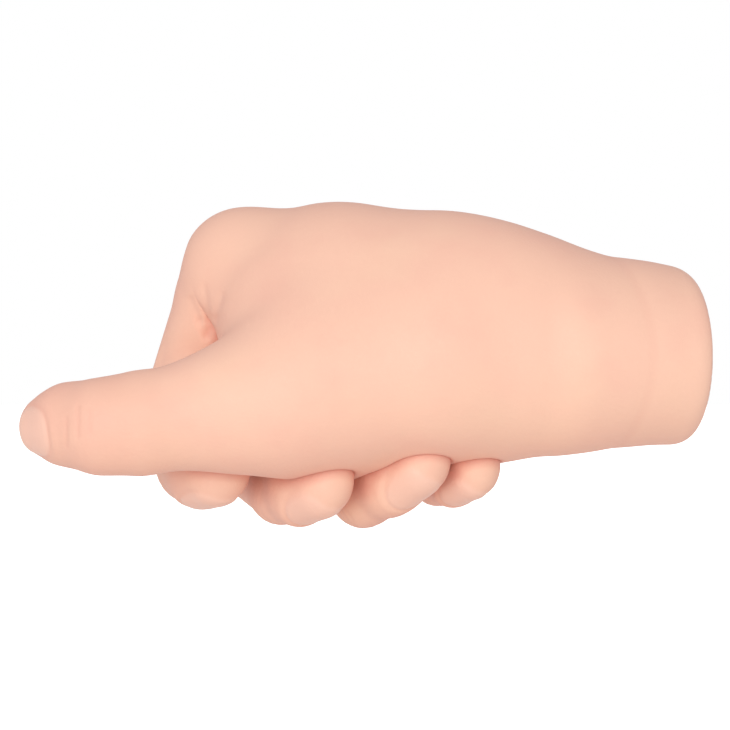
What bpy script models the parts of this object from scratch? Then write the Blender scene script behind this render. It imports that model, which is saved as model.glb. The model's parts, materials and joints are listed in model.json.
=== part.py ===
"""Passive posable right hand with a silicone skin, a foam core and friction-hinged digits.

Lengths below are millimetres; mesh_object() turns them into metres.
+X points out of the wrist towards the forearm, +Z is up, and the thumb points towards -X.
The origin is the centre of the wrist coupling's outer face, inside the skin's cuff.
Each digit bends in one plane, and its hinge axes are perpendicular to that plane.
"""

import math

import bmesh
import bpy
from mathutils import Matrix, Vector

MM = 0.001
GAP = 0.3
SKIN = 2.2
PALM_SKIN = 3.0

RIM_X = 12.0
CUFF_HALF_WIDTH = 22.5
CUFF_HALF_HEIGHT = 19.8

PIN_RADIUS = 1.4
HOLE_RADIUS = 1.7
TONGUE_HALF = 1.2
CHEEK = 1.8
LUG_RADIUS = 3.2
WASHER = 0.6

# Each finger: knuckle point, hinge axis, direction of the first bone, bone lengths, bends in
# degrees, half-widths along the hinge and half-depths across it at knuckle, middle, end and tip.
FINGERS = {
    "index": {
        "knuckle": (-82.4, 35.5, 20.6), "hinge": (-0.938, -0.200, 0.280), "aim": (-0.307, 0.258, -0.916),
        "lengths": (39.0, 19.0, 9.5), "bends": (77.0, 24.0),
        "widths": (8.8, 7.9, 7.4, 6.4), "depths": (10.8, 9.4, 8.6, 7.2),
    },
    "middle": {
        "knuckle": (-64.2, 42.0, 17.1), "hinge": (-0.924, -0.248, 0.292), "aim": (-0.341, 0.185, -0.921),
        "lengths": (41.0, 24.0, 13.0), "bends": (84.0, 21.0),
        "widths": (8.9, 7.8, 7.6, 6.8), "depths": (11.2, 9.8, 9.0, 7.6),
    },
    "ring": {
        "knuckle": (-45.9, 44.4, 12.1), "hinge": (-0.891, -0.270, 0.365), "aim": (-0.389, 0.038, -0.920),
        "lengths": (38.0, 24.0, 14.0), "bends": (81.0, 28.0),
        "widths": (8.5, 7.7, 7.3, 6.4), "depths": (10.8, 9.4, 8.7, 7.2),
    },
    "little": {
        "knuckle": (-29.8, 43.1, 7.1), "hinge": (-0.914, -0.184, 0.363), "aim": (-0.369, 0.0, -0.929),
        "lengths": (30.0, 20.0, 12.0), "bends": (78.0, 18.0),
        "widths": (7.6, 7.4, 6.8, 6.0), "depths": (9.8, 8.6, 7.8, 6.6),
    },
}
KNUCKLE_RANGE = (-45.0, 0.0)
MIDDLE_RANGE = (-50.0, 0.0)

THUMB_ROOT = (-30.0, 0.0, -3.0)
THUMB_BASE = (-84.2, 2.5, -11.5)
THUMB_JOINT = (-120.5, 9.5, -16.5)
THUMB_TIP = (-130.6, 19.0, -16.8)
THUMB_WIDTHS = (13.6, 11.4, 8.2)
THUMB_DEPTHS = (13.2, 10.8, 7.6)
THUMB_SWING_RANGE = (-25.0, 0.0)
THUMB_BEND_RANGE = (-35.0, 15.0)

# The palm's body as tapered masses: two end points and the radius at each.
PALM_MASSES = (
    ((-4.0, 0.5, 1.0), (-31.0, 6.0, 7.0), 20.0, 24.0),
    ((-31.0, 6.0, 7.0), (-60.0, 21.0, 12.0), 24.0, 22.5),
    ((-34.0, 10.0, 8.0), (-80.5, 34.5, 21.5), 23.0, 12.5),
    ((-30.0, 14.0, 6.0), (-64.2, 42.0, 17.1), 20.0, 11.8),
    ((-24.0, 14.0, 4.0), (-45.9, 44.4, 12.1), 19.0, 11.2),
    ((-18.0, 12.0, 2.0), (-29.8, 43.1, 7.1), 18.0, 10.2),
    ((-10.0, -0.5, -0.5), (-28.0, -1.0, -3.0), 19.2, 19.0),
    ((-28.0, -1.0, -3.0), (-50.0, 0.0, -4.0), 19.0, 17.4),
    ((-50.0, 0.0, -4.0), (-72.0, 3.0, -8.5), 17.4, 17.4),
    ((-72.0, 3.0, -8.5), (-90.0, 4.0, -12.0), 17.4, 13.6),
    ((-62.0, 17.0, 10.0), (-80.0, 20.0, 10.0), 18.0, 11.0),
)

COUPLING_RADIUS = 13.5
COUPLING_DEPTH = 6.0
STEM_RADIUS = 4.0
STEM_END = -27.0
BUSH_RADIUS = 6.4
SCREW_CIRCLE = 10.8

# The palm's skin and foam leave a wedge of room at each digit's first joint, this far from the
# joint and between these places along its hinge.
WEDGE_REACH = 18.0
WEDGE_STEPS = 10
WEDGE_SIDES = {
    "index": (-11.0, 30.0),
    "middle": (-11.5, 11.0),
    "ring": (-10.5, 11.0),
    "little": (-8.2, 10.0),
    "thumb": (-17.0, 17.0),
}
CORE_ROOM = 5.0

# The frame's spine starts off the wrist's axis, so that it clears the stem and its nut.
SPINE_START = (-17.0, 10.6, 0.6)
FRAME_SPLIT = (-42.0, 18.0, 9.0)
VOXEL = 2.0

XYZ = (Vector((1, 0, 0)), Vector((0, 1, 0)), Vector((0, 0, 1)))

bodies = {}


def vec(point):
    return Vector(point)


def along_x(x, y=0.0, z=0.0):
    return vec((x, y, z))


def turned(vector, axis, degrees):
    return Matrix.Rotation(math.radians(degrees), 3, axis) @ vector


def perpendicular(vector, axis):
    return (vector - vector.dot(axis) * axis).normalized()


# ---------------------------------------------------------------- meshes


def mesh_object(name, bm):
    """Turn a bmesh in millimetres into an object in metres, with its faces pointing out."""
    bmesh.ops.scale(bm, vec=(MM, MM, MM), verts=bm.verts)
    bmesh.ops.recalc_face_normals(bm, faces=bm.faces)
    mesh = bpy.data.meshes.new(name)
    bm.to_mesh(mesh)
    bm.free()
    thing = bpy.data.objects.new(name, mesh)
    bpy.context.scene.collection.objects.link(thing)
    return thing


def ring(centre, across, up, half_across, half_up, count):
    """Points round an ellipse."""
    points = []
    for i in range(count):
        angle = math.tau * i / count
        points.append(centre + across * (half_across * math.cos(angle)) + up * (half_up * math.sin(angle)))
    return points


def box_ring(centre, across, up, half_across, half_up):
    corners = ((1, 1), (-1, 1), (-1, -1), (1, -1))
    return [centre + across * (half_across * a) + up * (half_up * b) for a, b in corners]


def loft(name, rings, closed=False):
    """Skin a chain of rings; a one-point ring is a pole, and closed joins the last to the first."""
    bm = bmesh.new()
    rows = [[bm.verts.new(point) for point in points] for points in rings]
    pairs = list(zip(rows, rows[1:]))
    if closed:
        pairs.append((rows[-1], rows[0]))
    for first, second in pairs:
        count = max(len(first), len(second))
        for i in range(count):
            j = (i + 1) % count
            corners = [first[i % len(first)], first[j % len(first)]]
            corners += [second[j % len(second)], second[i % len(second)]]
            bm.faces.new(list(dict.fromkeys(corners)))
    if not closed:
        for row in (rows[0], rows[-1]):
            if len(row) > 2:
                bm.faces.new(row)
    return mesh_object(name, bm)


def rod(name, start, end, radius, end_radius=None, sides=20):
    """A round bar between two points, tapered when end_radius is given."""
    along = (end - start).normalized()
    across = along.orthogonal().normalized()
    up = along.cross(across)
    far = radius if end_radius is None else end_radius
    first = ring(start, across, up, radius, radius, sides)
    last = ring(end, across, up, far, far, sides)
    return loft(name, [first, last])


def tube(name, start, end, inner, outer, sides=28):
    """A round sleeve or washer between two points."""
    along = (end - start).normalized()
    across = along.orthogonal().normalized()
    up = along.cross(across)
    rings = []
    for place, radius in ((start, inner), (start, outer), (end, outer), (end, inner)):
        rings.append(ring(place, across, up, radius, radius, sides))
    return loft(name, rings, closed=True)


def oval_tube(name, start_x, end_x, inner, outer, sides=32):
    """A sleeve along X with an oval section; inner and outer are (half-width, half-height)."""
    rings = []
    for x, size in ((start_x, inner), (start_x, outer), (end_x, outer), (end_x, inner)):
        rings.append(ring(along_x(x), XYZ[1], XYZ[2], size[0], size[1], sides))
    return loft(name, rings, closed=True)


def oval_rod(name, start_x, end_x, half_width, half_height, sides=40):
    """A bar along X with an oval section."""
    rings = [ring(along_x(x), XYZ[1], XYZ[2], half_width, half_height, sides) for x in (start_x, end_x)]
    return loft(name, rings)


def block(name, centre, axes, halves):
    """A box from its centre, three axes and three half-lengths."""
    rings = [box_ring(centre + axes[0] * (side * halves[0]), axes[1], axes[2], halves[1], halves[2])
             for side in (-1, 1)]
    return loft(name, rings)


def capsule(name, a, b, radius_a, radius_b, segments=16):
    """The convex hull of two balls."""
    bm = bmesh.new()
    for centre, radius in ((a, radius_a), (b, radius_b)):
        place = Matrix.Translation(centre)
        rows = segments // 2
        bmesh.ops.create_uvsphere(bm, u_segments=segments, v_segments=rows, radius=radius, matrix=place)
    bmesh.ops.delete(bm, geom=bm.edges, context="EDGES_FACES")
    hull = bmesh.ops.convex_hull(bm, input=bm.verts)
    inside = [item for item in hull["geom_interior"] if isinstance(item, bmesh.types.BMVert)]
    bmesh.ops.delete(bm, geom=inside, context="VERTS")
    return mesh_object(name, bm)


def apply_modifiers(thing):
    graph = bpy.context.evaluated_depsgraph_get()
    mesh = bpy.data.meshes.new_from_object(thing.evaluated_get(graph))
    thing.modifiers.clear()
    thing.data = mesh


def combine(target, tools, operation="DIFFERENCE"):
    """Boolean each tool with the target in turn, then drop the tools."""
    for tool in tools:
        modifier = target.modifiers.new(tool.name, "BOOLEAN")
        modifier.operation = operation
        modifier.solver = "EXACT"
        modifier.object = tool
    apply_modifiers(target)
    for tool in tools:
        bpy.data.objects.remove(tool)


def keep_largest_piece(thing):
    """Delete loose crumbs, leaving the connected piece with the most points."""
    bm = bmesh.new()
    bm.from_mesh(thing.data)
    seen = set()
    pieces = []
    for start in bm.verts:
        if start in seen:
            continue
        piece = {start}
        front = [start]
        while front:
            for edge in front.pop().link_edges:
                for vert in edge.verts:
                    if vert not in piece:
                        piece.add(vert)
                        front.append(vert)
        seen |= piece
        pieces.append(piece)
    keep = max(pieces, key=len)
    bmesh.ops.delete(bm, geom=[vert for vert in bm.verts if vert not in keep], context="VERTS")
    bm.to_mesh(thing.data)
    bm.free()


# ---------------------------------------------------------------- materials and bodies


def make_material(name, colour, roughness, metallic):
    material = bpy.data.materials.new(name)
    material.use_nodes = True
    shader = material.node_tree.nodes["Principled BSDF"]
    shader.inputs["Base Color"].default_value = (*colour, 1.0)
    shader.inputs["Roughness"].default_value = roughness
    shader.inputs["Metallic"].default_value = metallic
    return material


def make_materials():
    return {
        "silicone_skin": make_material("silicone_skin", (0.93, 0.62, 0.49), 0.45, 0.0),
        "foam": make_material("foam", (0.88, 0.80, 0.62), 0.9, 0.0),
        "frame_nylon": make_material("frame_nylon", (0.62, 0.60, 0.56), 0.5, 0.0),
        "bone_nylon": make_material("bone_nylon", (0.82, 0.80, 0.75), 0.5, 0.0),
        "steel": make_material("steel", (0.62, 0.63, 0.65), 0.3, 1.0),
        "aluminium": make_material("aluminium", (0.80, 0.81, 0.83), 0.35, 1.0),
        "acetal": make_material("acetal", (0.90, 0.90, 0.88), 0.4, 0.0),
    }


def make_body(name, pivot, parent=None):
    """An empty on the body's joint axis; the body's pieces hang from it."""
    empty = bpy.data.objects.new(name, None)
    empty.empty_display_size = 0.01
    bpy.context.scene.collection.objects.link(empty)
    base = vec((0, 0, 0))
    if parent:
        base = bodies[parent][1]
        empty.parent = bodies[parent][0]
    empty.location = (pivot - base) * MM
    bodies[name] = (empty, pivot)


def add_piece(thing, body, material, smooth_angle=40.0):
    """Hang a finished piece from its body, with its origin on the body's joint axis."""
    empty, pivot = bodies[body]
    thing.data.transform(Matrix.Translation(pivot * -MM))
    thing.parent = empty
    thing.data.materials.clear()
    thing.data.materials.append(material)
    thing.data.shade_smooth()
    thing.data.set_sharp_from_angle(angle=math.radians(smooth_angle))


# ---------------------------------------------------------------- joints


def sector_angles(rest, limits):
    """Angles of the cutting planes' normals from the parent's direction: parent's, then child's.

    The planes share the hinge axis, and the two kept sectors just touch at each limit.
    """
    low, high = limits
    parent = ((rest + high) / 2.0, (rest + low) / 2.0)
    child = (parent[0] - high, parent[1] - low)
    return parent, child


def joint_planes(forward, hinge, rest, limits):
    parent, child = sector_angles(rest, limits)
    return [turned(forward, hinge, a) for a in parent], [turned(forward, hinge, a) for a in child]


def slide_behind(points, along, pivot, normals):
    """Slide each point along a direction until it is half a gap behind every plane."""
    result = []
    for point in points:
        steps = [(-GAP / 2.0 - normal.dot(point - pivot)) / normal.dot(along) for normal in normals]
        result.append(point + along * min(steps))
    return result


def slide_ahead(points, along, pivot, normals):
    """Slide each point along a direction until it is half a gap ahead of every plane."""
    result = []
    for point in points:
        steps = [(GAP / 2.0 - normal.dot(point - pivot)) / normal.dot(along) for normal in normals]
        result.append(point + along * max(steps))
    return result


def wedge(name, pivot, hinge, normals, low, high):
    """Everything ahead of either parent plane, within reach, between two places along the hinge."""
    toward = (normals[0] + normals[1]).normalized()
    half_span = 90.0 + math.degrees(normals[0].angle(normals[1])) / 2.0
    start = pivot - toward * (GAP / 2.0)
    outline = [start]
    for i in range(WEDGE_STEPS + 1):
        angle = half_span * (2.0 * i / WEDGE_STEPS - 1.0)
        outline.append(start + turned(toward, hinge, angle) * WEDGE_REACH)
    rings = [[point + hinge * offset for point in outline] for offset in (low, high)]
    return loft(name, rings)


# ---------------------------------------------------------------- digits


class Digit:
    """One digit's pivots, directions and sizes, all in its bending plane."""

    def __init__(self, points, hinge, forward, widths, depths, base_limits, joint_limits):
        self.points = points
        self.hinge = hinge
        self.forward = forward
        self.aims = [(b - a).normalized() for a, b in zip(points, points[1:])]
        self.ups = [hinge.cross(aim).normalized() for aim in self.aims]
        self.widths = widths
        self.depths = depths
        self.base_rest = math.degrees(forward.angle(self.aims[0]))
        self.joint_rest = math.degrees(self.aims[0].angle(self.aims[1]))
        self.base_planes = joint_planes(forward, hinge, self.base_rest, base_limits)
        self.joint_planes = joint_planes(self.aims[0], hinge, self.joint_rest, joint_limits)

    def section(self, index, centre, wall, aim_index, count=16):
        """The skin's cross-section at a numbered place, inside the wall."""
        half_width = self.widths[index] - wall
        half_depth = self.depths[index] - wall
        return ring(centre, self.hinge, self.ups[aim_index], half_width, half_depth, count)


def finger_digit(data):
    hinge = vec(data["hinge"]).normalized()
    aim = perpendicular(vec(data["aim"]), hinge)
    points = [vec(data["knuckle"])]
    for length, bend in zip(data["lengths"], (*data["bends"], 0.0)):
        points.append(points[-1] + aim * length)
        aim = turned(aim, hinge, bend)
    forward = perpendicular(vec((0, 1, 0)), hinge)
    return Digit(points, hinge, forward, data["widths"], data["depths"], KNUCKLE_RANGE, MIDDLE_RANGE)


def thumb_digit():
    points = [vec(THUMB_BASE), vec(THUMB_JOINT), vec(THUMB_TIP)]
    hinge = (points[1] - points[0]).cross(points[2] - points[1]).normalized()
    forward = perpendicular(points[0] - vec(THUMB_ROOT), hinge)
    return Digit(points, hinge, forward, THUMB_WIDTHS, THUMB_DEPTHS, THUMB_SWING_RANGE, THUMB_BEND_RANGE)


def base_sleeve(name, digit):
    """The skin of a digit's first segment: a sleeve cut to the sector of each end joint."""
    start, end = digit.points[0], digit.points[1]
    aim = digit.aims[0]
    walls = []
    for wall in (0.0, SKIN):
        first = slide_ahead(digit.section(0, start, wall, 0), aim, start, digit.base_planes[1])
        last = slide_behind(digit.section(1, end, wall, 0), aim, end, digit.joint_planes[0])
        walls.append([first, last])
    return loft(name, [walls[0][0], walls[0][1], walls[1][1], walls[1][0]], closed=True)


def dome(centre, across, up, aim, half_width, half_depth, length):
    """Rings of a rounded end, from just past its widest ring to its pole."""
    rings = []
    for degrees in (30.0, 60.0):
        angle = math.radians(degrees)
        middle = centre + aim * (length * math.sin(angle))
        size = math.cos(angle)
        rings.append(ring(middle, across, up, half_width * size, half_depth * size, 16))
    rings.append([centre + aim * length])
    return rings


def tip_sleeve(name, digit):
    """The skin of a digit's last segments: open at the joint and rounded at the tip."""
    joint = digit.points[1]
    chains = []
    for wall in (0.0, SKIN):
        first = slide_ahead(digit.section(1, joint, wall, 1), digit.aims[1], joint, digit.joint_planes[1])
        chain = [first]
        for index in range(2, len(digit.points)):
            aim_index = min(index, len(digit.aims) - 1)
            middle_up = (digit.ups[index - 1] + digit.ups[aim_index]).normalized()
            size = (digit.widths[index] - wall, digit.depths[index] - wall)
            chain.append(ring(digit.points[index], digit.hinge, middle_up, size[0], size[1], 16))
        size = (digit.widths[-1] - wall, digit.depths[-1] - wall)
        end = digit.points[-1]
        chain += dome(end, digit.hinge, digit.ups[-1], digit.aims[-1], size[0], size[1], size[1])
        chains.append(chain)
    return loft(name, list(reversed(chains[1])) + chains[0])


def lug_rings(pivot, aim, hinge, up, half_width, sign):
    """The rounded end of a lug: sign is -1 for an end before the pivot and 1 for one after it."""
    shape = ((1.0, 0.4), (0.75, 0.8), (0.35, 1.0))
    rings = [box_ring(pivot + aim * (sign * LUG_RADIUS * along), hinge, up, half_width, LUG_RADIUS * depth)
             for along, depth in shape]
    return rings if sign < 0 else list(reversed(rings))


def fork_cut(name, pivot, aim, hinge, up, low, high):
    """The slot of a fork, open towards aim."""
    centre = pivot + aim * 1.0 + hinge * ((low + high) / 2.0)
    return block(name, centre, (aim, hinge, up), (LUG_RADIUS + 2.4, (high - low) / 2.0, LUG_RADIUS + 2.0))


def hole_cut(name, pivot, hinge):
    return rod(name, pivot - hinge * 12.0, pivot + hinge * 12.0, HOLE_RADIUS, sides=14)


def base_bone(name, digit):
    """First bone: a tongue in the palm's fork, a shaft, and a fork for the next bone."""
    start, end = digit.points[0], digit.points[1]
    aim, hinge, up = digit.aims[0], digit.hinge, digit.ups[0]
    fork_half = TONGUE_HALF + GAP + CHEEK
    rings = lug_rings(start, aim, hinge, up, TONGUE_HALF, -1)
    rings.append(box_ring(start + aim * 5.5, hinge, up, TONGUE_HALF, LUG_RADIUS))
    rings.append(box_ring(start + aim * 8.0, hinge, up, 2.4, 2.6))
    rings.append(box_ring(end - aim * 9.0, hinge, up, 2.4, 2.6))
    rings.append(box_ring(end - aim * 6.0, hinge, up, fork_half, LUG_RADIUS))
    rings += lug_rings(end, aim, hinge, up, fork_half, 1)
    bone = loft(name, rings)
    slot = fork_cut("slot", end, aim, hinge, up, -TONGUE_HALF - GAP, TONGUE_HALF + GAP)
    combine(bone, [slot, hole_cut("hole_a", start, hinge), hole_cut("hole_b", end, hinge)])
    return bone


def tip_bone(name, digit):
    """Last bone: a tongue in the first bone's fork and a shaft that follows the digit's curl."""
    joint = digit.points[1]
    aim, hinge, up = digit.aims[1], digit.hinge, digit.ups[1]
    rings = lug_rings(joint, aim, hinge, up, TONGUE_HALF, -1)
    rings.append(box_ring(joint + aim * 5.0, hinge, up, TONGUE_HALF, LUG_RADIUS))
    rings.append(box_ring(joint + aim * 7.0, hinge, up, 2.2, 2.4))
    for index in range(2, len(digit.points)):
        last = index == len(digit.points) - 1
        size = 1.6 if last else 2.0
        rings.append(box_ring(digit.points[index], hinge, digit.ups[index - 1], size, size))
    bone = loft(name, rings)
    combine(bone, [hole_cut("hole", joint, hinge)])
    return bone


def pin(name, pivot, hinge, low, high):
    return rod(name, pivot + hinge * low, pivot + hinge * high, PIN_RADIUS, sides=14)


def add_digit(name, digit, pin_name, materials):
    """Every piece of one digit, on its two bodies."""
    base_body, tip_body = name + "_base", name + "_tip"
    make_body(base_body, digit.points[0], "palm")
    make_body(tip_body, digit.points[1], base_body)
    skin, bone, steel = materials["silicone_skin"], materials["bone_nylon"], materials["steel"]
    side = TONGUE_HALF + GAP
    cheek_out = side + CHEEK
    add_piece(base_sleeve(name + "_base_skin", digit), base_body, skin)
    add_piece(base_bone(name + "_base_bone", digit), base_body, bone)
    add_piece(tip_sleeve(name + "_tip_skin", digit), tip_body, skin)
    add_piece(tip_bone(name + "_tip_bone", digit), tip_body, bone)
    hinge = digit.hinge
    washer_start = digit.points[0] + hinge * side
    washer_end = washer_start + hinge * WASHER
    washer = tube(name + "_base_washer", washer_start, washer_end, HOLE_RADIUS, LUG_RADIUS - 0.2, 16)
    add_piece(washer, "palm", materials["acetal"])
    base_pin = pin(name + "_base_pin", digit.points[0], hinge, -cheek_out, cheek_out + WASHER + GAP)
    add_piece(base_pin, "palm", steel)
    joint_pin = pin(name + "_" + pin_name + "_pin", digit.points[1], hinge, -cheek_out, cheek_out)
    add_piece(joint_pin, base_body, steel)


# ---------------------------------------------------------------- wrist


def screw_places():
    """Where the plate's screws are, round the wrist's axis."""
    for i in range(3):
        angle = math.radians(90.0 + 120.0 * i)
        yield SCREW_CIRCLE * math.cos(angle), SCREW_CIRCLE * math.sin(angle)


def wrist_coupling():
    """The turning half of the wrist: a flange, a stem, and two holes for a pin spanner."""
    flange = rod("wrist_coupling", along_x(0.0), along_x(-COUPLING_DEPTH), COUPLING_RADIUS, sides=40)
    stem = rod("stem", along_x(-COUPLING_DEPTH / 2.0), along_x(STEM_END), STEM_RADIUS, sides=28)
    combine(flange, [stem], "UNION")
    holes = [rod("hole", along_x(2.0, side * 8.5), along_x(-3.5, side * 8.5), 1.6) for side in (-1, 1)]
    combine(flange, holes)
    return flange


def stem_nut():
    nut = rod("stem_nut", along_x(-20.0), along_x(-25.0), 7.5, sides=6)
    combine(nut, [rod("bore", along_x(-19.0), along_x(-26.0), STEM_RADIUS + GAP, sides=28)])
    return nut


def wrist_plate():
    """The fixed plate that the coupling turns against, with a bush hole and countersunk screw holes."""
    plate = rod("wrist_plate", along_x(-8.0), along_x(-12.0), COUPLING_RADIUS, sides=40)
    tools = [rod("bore", along_x(-7.0), along_x(-13.0), BUSH_RADIUS + GAP, sides=28)]
    for y, z in screw_places():
        tools.append(rod("shank_hole", along_x(-7.0, y, z), along_x(-13.0, y, z), 1.2, sides=12))
        tools.append(rod("head_hole", along_x(-7.0, y, z), along_x(-10.0, y, z), 2.4, sides=16))
    combine(plate, tools)
    return plate


def plate_screw(name, y, z):
    head = rod(name, along_x(-8.2, y, z), along_x(-9.7, y, z), 2.1, sides=16)
    shank = rod("shank", along_x(-9.0, y, z), along_x(-17.0, y, z), 0.9, sides=12)
    combine(head, [shank], "UNION")
    combine(head, [block("slot", along_x(-8.2, y, z), XYZ, (0.6, 0.3, 3.0))])
    return head


def add_wrist(materials):
    add_piece(wrist_coupling(), "wrist", materials["aluminium"])
    add_piece(stem_nut(), "wrist", materials["steel"])
    add_piece(wrist_plate(), "palm", materials["aluminium"])
    for number, (y, z) in enumerate(screw_places(), start=1):
        name = "plate_screw_" + str(number)
        add_piece(plate_screw(name, y, z), "palm", materials["steel"])
    inner = STEM_RADIUS + GAP
    bush = tube("wrist_bush", along_x(-8.0), along_x(-18.0), inner, BUSH_RADIUS)
    add_piece(bush, "palm", materials["acetal"])
    friction_washer = tube("friction_washer", along_x(-6.4), along_x(-7.6), inner, 9.6)
    add_piece(friction_washer, "palm", materials["acetal"])
    spring_washer = tube("spring_washer", along_x(-18.9), along_x(-19.7), inner, 7.2)
    add_piece(spring_washer, "palm", materials["steel"])
    inner_size = (CUFF_HALF_WIDTH - PALM_SKIN - 2.0, CUFF_HALF_HEIGHT - PALM_SKIN - 2.0)
    outer_size = (CUFF_HALF_WIDTH - PALM_SKIN - GAP, CUFF_HALF_HEIGHT - PALM_SKIN - GAP)
    liner = oval_tube("cuff_liner", -14.0, RIM_X - 3.0, inner_size, outer_size)
    add_piece(liner, "palm", materials["frame_nylon"])


# ---------------------------------------------------------------- palm


def carrier(name, digit, grow=0.0):
    """The fork's solid body, behind a digit's first pivot."""
    pivot, aim, hinge = digit.points[0], digit.forward, digit.hinge
    up = hinge.cross(aim)
    low = -(TONGUE_HALF + GAP + CHEEK) - grow
    high = TONGUE_HALF + GAP + CHEEK + WASHER + GAP + grow
    half = (high - low) / 2.0
    middle = pivot + hinge * ((high + low) / 2.0)
    rings = [box_ring(middle - aim * (9.0 + grow), hinge, up, half * 0.8, LUG_RADIUS * 0.8)]
    rings.append(box_ring(middle - aim * 6.0, hinge, up, half, LUG_RADIUS + grow))
    rings += lug_rings(middle + aim * grow, aim, hinge, up, half, 1)
    return loft(name, rings)


def frame_bars(digits, grow=0.0):
    """The frame's solids: a hub ring's disc, a spine, and an arm and a fork for each digit."""
    hub = rod("palm_frame", along_x(-12.3 + grow), along_x(-18.6 - grow), COUPLING_RADIUS + grow, sides=40)
    split = vec(FRAME_SPLIT)
    bars = [rod("spine", vec(SPINE_START), split, 2.8 + grow, 4.4 + grow, 10)]
    for name, digit in digits.items():
        root = digit.points[0] - digit.forward * 6.6
        bars.append(rod(name + "_arm", split, root, 2.9 + grow, 2.6 + grow, 10))
        bars.append(carrier(name + "_fork", digit, grow))
    return hub, bars


def palm_frame(digits):
    """The rigid frame, with a bush hole, screw holes, fork slots and pin holes."""
    hub, bars = frame_bars(digits)
    combine(hub, bars, "UNION")
    tools = [rod("bore", along_x(-11.0), along_x(-20.0), BUSH_RADIUS + GAP, sides=28)]
    for y, z in screw_places():
        tools.append(rod("screw_hole", along_x(-11.0, y, z), along_x(-20.0, y, z), 1.2, sides=12))
    side = TONGUE_HALF + GAP
    for digit in digits.values():
        up = digit.hinge.cross(digit.forward)
        wide_side = side + WASHER + GAP
        tools.append(fork_cut("slot", digit.points[0], digit.forward, digit.hinge, up, -side, wide_side))
        tools.append(hole_cut("hole", digit.points[0], digit.hinge))
    combine(hub, tools)
    return hub


def palm_blob(name, shrink, cuff_end, ratio):
    """The palm's smooth mass, made smaller on every side by shrink."""
    masses = [capsule("mass", vec(a), vec(b), ra - shrink, rb - shrink, 24) for a, b, ra, rb in PALM_MASSES]
    cuff = oval_rod("cuff", -22.0, cuff_end, CUFF_HALF_WIDTH - shrink, CUFF_HALF_HEIGHT - shrink)
    blob = mesh_object(name, bmesh.new())
    bm = bmesh.new()
    for thing in (*masses, cuff):
        bm.from_mesh(thing.data)
        bpy.data.objects.remove(thing)
    bm.to_mesh(blob.data)
    bm.free()
    remesh = blob.modifiers.new("remesh", "REMESH")
    remesh.mode = "VOXEL"
    remesh.voxel_size = VOXEL * MM
    smooth = blob.modifiers.new("smooth", "SMOOTH")
    smooth.factor = 0.6
    smooth.iterations = 10
    decimate = blob.modifiers.new("decimate", "DECIMATE")
    decimate.ratio = ratio
    apply_modifiers(blob)
    return blob


def joint_wedges(digits, grow=0.0):
    """Room at each digit's first joint, from one neighbour's middle plane to the other's."""
    tools = []
    for name, digit in digits.items():
        low, high = WEDGE_SIDES[name]
        pivot = digit.points[0] - digit.forward * grow
        tools.append(wedge("wedge", pivot, digit.hinge, digit.base_planes[0], low - grow, high + grow))
    return tools


def curled_room(fingers, grow):
    """Room in the palm for the curled fingers."""
    tools = []
    for digit in fingers:
        for index in range(3):
            sizes = [size + grow for size in digit.depths[index:index + 2]]
            tools.append(capsule("room", *digit.points[index:index + 2], *sizes, 14))
    return tools


def palm_skin(digits):
    """The skin over the palm and wrist, open at the rim and at each digit's first joint."""
    skin = palm_blob("palm_skin", 0.0, 18.0, 0.10)
    cavity = palm_blob("cavity", PALM_SKIN, 10.0, 0.08)
    bore = oval_rod("bore", -18.0, 30.0, CUFF_HALF_WIDTH - PALM_SKIN, CUFF_HALF_HEIGHT - PALM_SKIN)
    beyond = block("beyond", along_x(RIM_X + 20.0), XYZ, (20.0, 50.0, 50.0))
    fingers = [digit for name, digit in digits.items() if name != "thumb"]
    combine(skin, [cavity, bore, beyond])
    combine(skin, joint_wedges(digits) + curled_room(fingers, 3.0 * GAP))
    keep_largest_piece(skin)
    return skin


def palm_core(digits):
    """Foam between the frame and the skin, moulded around the frame's bars."""
    core = palm_blob("palm_core", PALM_SKIN + 1.4, -4.0, 0.09)
    hub, bars = frame_bars(digits, 0.5)
    wrist_room = block("wrist_room", along_x(10.0), XYZ, (29.5, 50.0, 50.0))
    nut_room = rod("nut_room", along_x(-15.0), along_x(STEM_END - 1.0), 8.6, sides=20)
    fingers = [digit for name, digit in digits.items() if name != "thumb"]
    combine(core, [wrist_room, nut_room] + curled_room(fingers, PALM_SKIN + 1.0))
    combine(core, joint_wedges(digits, CORE_ROOM))
    combine(core, [hub] + bars)
    keep_largest_piece(core)
    return core


def build():
    for thing in list(bpy.data.objects):
        bpy.data.objects.remove(thing)
    materials = make_materials()
    digits = {name: finger_digit(data) for name, data in FINGERS.items()}
    digits["thumb"] = thumb_digit()
    make_body("wrist", vec((0, 0, 0)))
    make_body("palm", vec((0, 0, 0)), "wrist")
    add_wrist(materials)
    add_piece(palm_frame(digits), "palm", materials["frame_nylon"])
    add_piece(palm_core(digits), "palm", materials["foam"])
    add_piece(palm_skin(digits), "palm", materials["silicone_skin"])
    for name, digit in digits.items():
        pin_name = "tip" if name == "thumb" else "middle"
        add_digit(name, digit, pin_name, materials)


build()
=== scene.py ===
"""Looks of the posable prosthetic hand: silicone skin, nails, creases and the wrist hardware.

The skin is modelled as smooth solid forms in millimetres, in closed pieces, each over one joint.
Neighbouring pieces share one surface: past a seam each of them sinks below the other, to hide the seam.
A form is a function that gives the distance from its surface at points p, negative inside.
"""
import json
import math

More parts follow.
